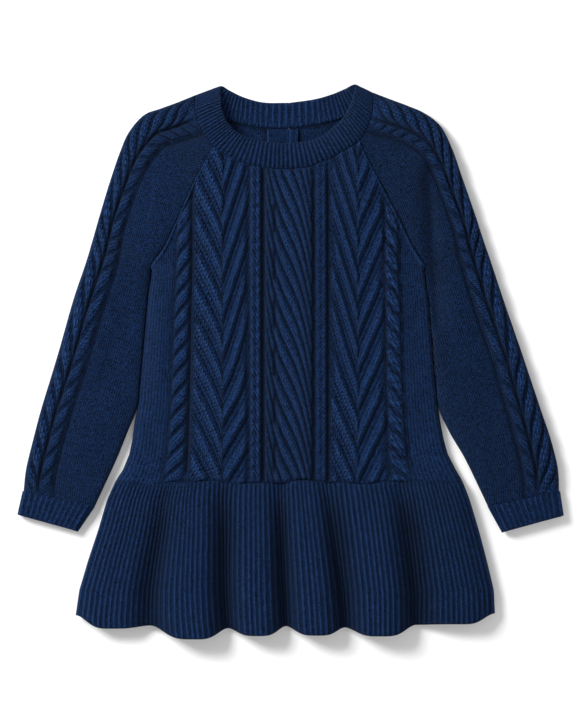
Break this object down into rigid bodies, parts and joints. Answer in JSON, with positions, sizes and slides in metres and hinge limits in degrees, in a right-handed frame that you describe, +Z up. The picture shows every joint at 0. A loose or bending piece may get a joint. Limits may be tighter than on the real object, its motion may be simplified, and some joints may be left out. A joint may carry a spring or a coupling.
{
  "type": "sweater dress",
  "caption": "Child's long-sleeved cable-knit sweater dress with a ribbed neck band, ribbed cuffs and a fluted ribbed peplum, lying flat on its back.",
  "frame": {"origin": "centre of the bounding box at the surface that the dress lies on", "axes": "+Y towards the neck, +X to the right of a viewer who looks down on the front, +Z up from the surface"},
  "size_m": [0.4923, 0.4983, 0.0229],
  "materials": {
    "knit": "matte heathered navy wool-like knit",
    "rib": "matte navy one by one rib",
    "placket": "matte navy knit band"
  },
  "bodies": {
    "root": {"front_body": "knit", "back_body": "knit", "left_sleeve": "knit", "right_sleeve": "knit", "neck_band": "rib", "left_cuff": "rib", "right_cuff": "rib", "peplum_front": "rib", "peplum_back": "rib", "placket_left": "placket", "placket_right": "placket"}
  },
  "joints": []
}
